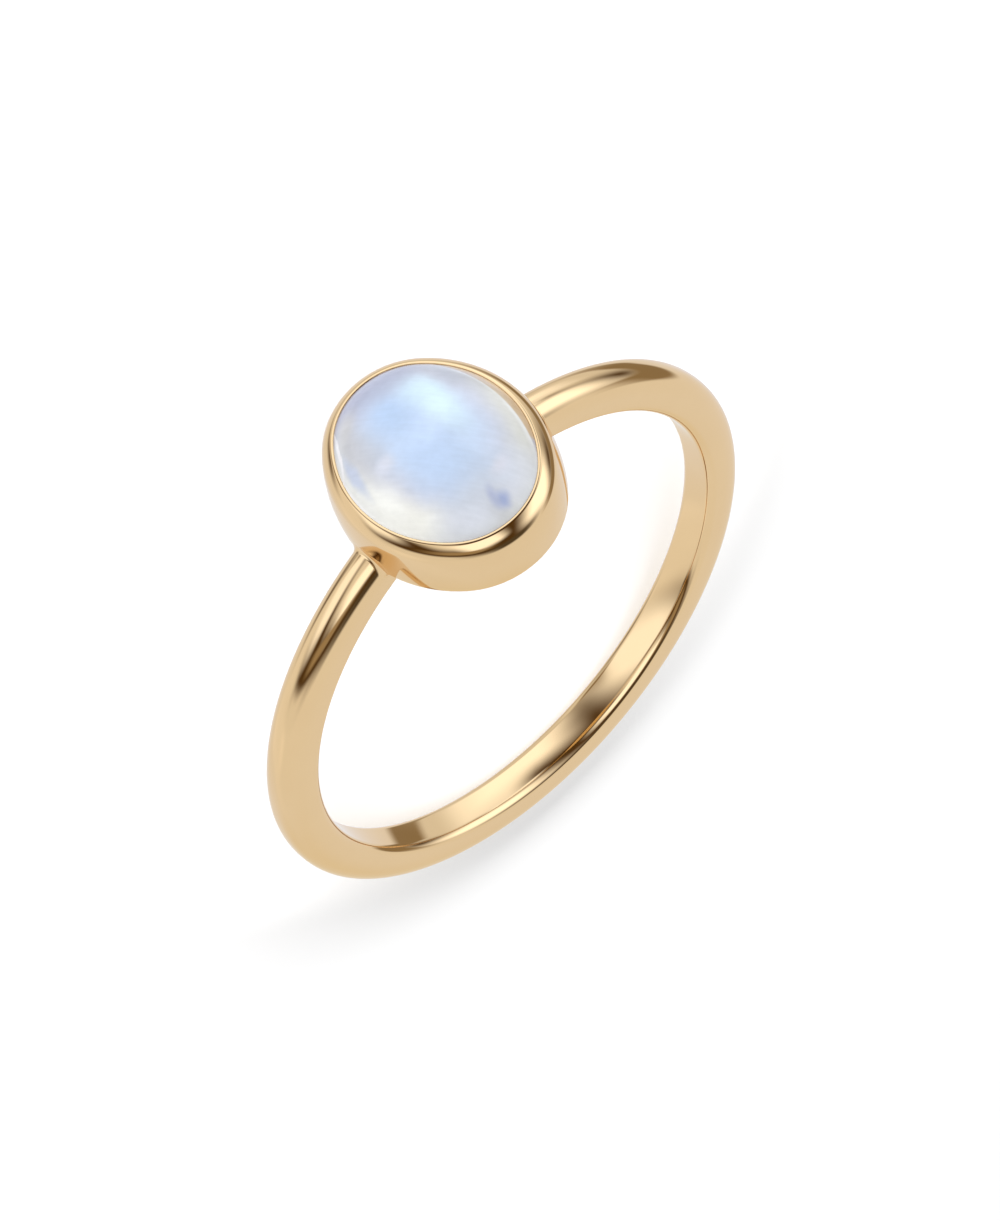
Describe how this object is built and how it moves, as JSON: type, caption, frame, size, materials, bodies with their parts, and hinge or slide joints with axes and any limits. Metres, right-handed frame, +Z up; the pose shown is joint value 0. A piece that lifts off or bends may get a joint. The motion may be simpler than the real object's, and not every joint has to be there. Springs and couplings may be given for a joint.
{
  "type": "moonstone ring",
  "caption": "Slim gold finger ring with an oval moonstone cabochon in a plain rubbed-over bezel, lying on its side.",
  "frame": {"origin": "on the floor, under the middle of the ring's bounding box, with the ring lying on its side at rest", "axes": "+Z up, near the finger's axis, which leans back by 10.87 degrees; -Y to the front, where the stone faces; X across, along the breadth of the stone"},
  "size_m": [0.0204, 0.0224, 0.0086],
  "materials": {
    "polished_gold": "polished",
    "moonstone": "polished, milky"
  },
  "bodies": {
    "root": {"gold_mount": "polished_gold", "moonstone": "moonstone"}
  },
  "joints": []
}
